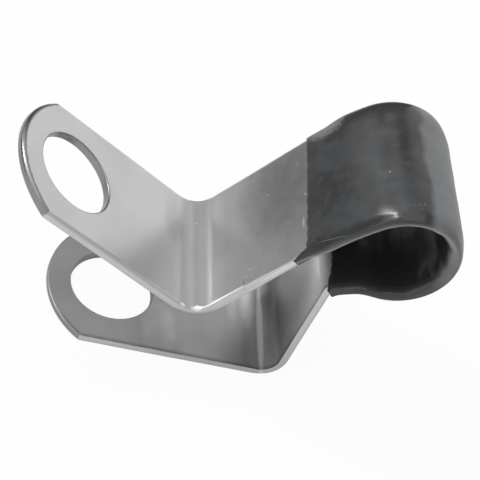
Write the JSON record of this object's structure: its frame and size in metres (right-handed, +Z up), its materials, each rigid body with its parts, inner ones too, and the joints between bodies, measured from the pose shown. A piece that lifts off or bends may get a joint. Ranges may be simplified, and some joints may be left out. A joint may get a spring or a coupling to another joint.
{
  "type": "p clip",
  "caption": "Sprung-open P clip for a cable: a bent bright steel strap with a bolt hole in each rounded ear and a soft dark sleeve round its loop.",
  "frame": {"origin": "middle of the lower bolt hole on the underside of the lower ear, which lies flat on z = 0", "axes": "+X along the lower ear towards the loop, +Y across the strap along the cable, +Z up from the lower ear"},
  "size_m": [0.0365, 0.0142, 0.0233],
  "materials": {
    "steel": "bright mill-rolled spring steel, lightly scuffed",
    "sleeve_plastic": "soft dark grey plastic, semi-gloss and a little wrinkled"
  },
  "bodies": {
    "root": {"strap": "steel", "sleeve": "sleeve_plastic"}
  },
  "joints": []
}
